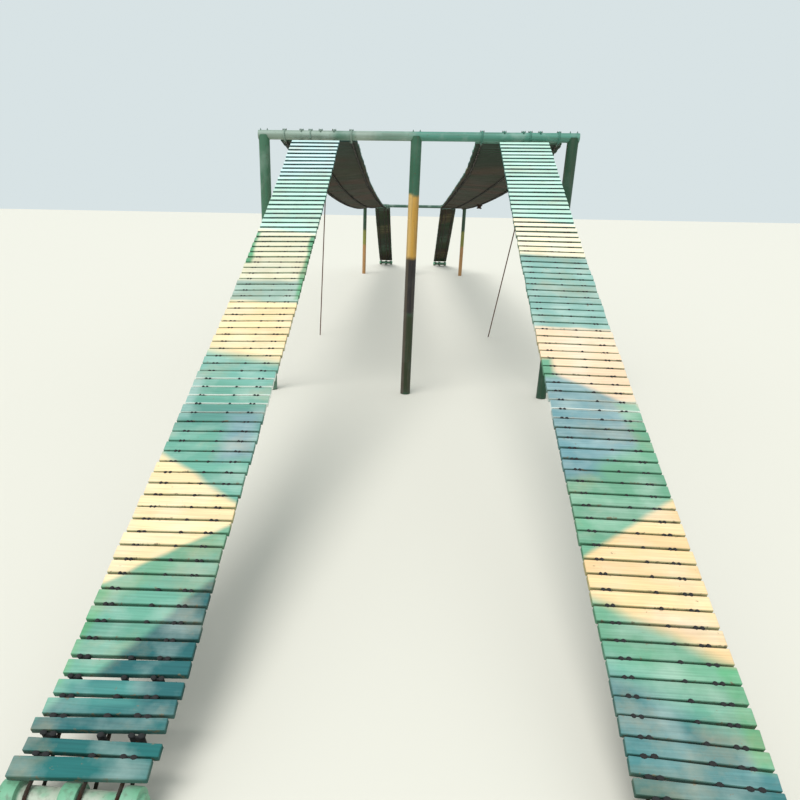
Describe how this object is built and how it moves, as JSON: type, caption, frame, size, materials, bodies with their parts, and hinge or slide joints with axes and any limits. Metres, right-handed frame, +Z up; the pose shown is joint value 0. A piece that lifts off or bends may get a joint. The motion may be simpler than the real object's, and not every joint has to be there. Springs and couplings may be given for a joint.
{
  "type": "rope suspension footbridge",
  "caption": "Twin-lane training footbridge: slatted ramps climb from ground anchors over two tube frames to slatted decks hung on wire ropes, held down by stays.",
  "frame": {"origin": "on the ground, in the middle of the bridge's length and width", "axes": "+Y from the near foot to the far foot, +X to the right of someone who starts to climb, +Z up"},
  "size_m": [3.41, 28.1462, 2.7784],
  "materials": {
    "frame_steel": "faded camouflage enamel on steel tube, chipped and chalky",
    "slat_paint": "sawn hardwood slats under sun-bleached camouflage paint, darker and bare below",
    "wire_rope": "weathered steel wire rope, dull and rust-stained",
    "anchor_steel": "pale green paint over cast and turned steel, worn at the edges",
    "stay_steel": "rusted round bar"
  },
  "bodies": {
    "root": {"near_beam": "frame_steel", "near_post_left": "frame_steel", "near_post_middle": "frame_steel", "near_post_right": "frame_steel", "far_beam": "frame_steel", "far_post_left": "frame_steel", "far_post_middle": "frame_steel", "far_post_right": "frame_steel", "near_anchor_left": "anchor_steel", "near_ramp_left": "slat_paint", "near_ramp_cable_left_1": "wire_rope", "near_ramp_cable_left_2": "wire_rope", "near_ramp_cable_left_3": "wire_rope", "far_anchor_left": "anchor_steel", "far_ramp_left": "slat_paint", "far_ramp_cable_left_1": "wire_rope", "far_ramp_cable_left_2": "wire_rope", "far_ramp_cable_left_3": "wire_rope", "deck_left_short_bay": "slat_paint", "deck_left_long_bay_near": "slat_paint", "deck_left_long_bay_far": "slat_paint", "span_cable_left_1": "wire_rope", "span_cable_left_2": "wire_rope", "span_cable_left_3": "wire_rope", "stay_left": "stay_steel", "near_anchor_right": "anchor_steel", "near_ramp_right": "slat_paint", "near_ramp_cable_right_1": "wire_rope", "near_ramp_cable_right_2": "wire_rope", "near_ramp_cable_right_3": "wire_rope", "far_anchor_right": "anchor_steel", "far_ramp_right": "slat_paint", "far_ramp_cable_right_1": "wire_rope", "far_ramp_cable_right_2": "wire_rope", "far_ramp_cable_right_3": "wire_rope", "deck_right_short_bay": "slat_paint", "deck_right_long_bay_near": "slat_paint", "deck_right_long_bay_far": "slat_paint", "span_cable_right_1": "wire_rope", "span_cable_right_2": "wire_rope", "span_cable_right_3": "wire_rope", "stay_right": "stay_steel"}
  },
  "joints": []
}
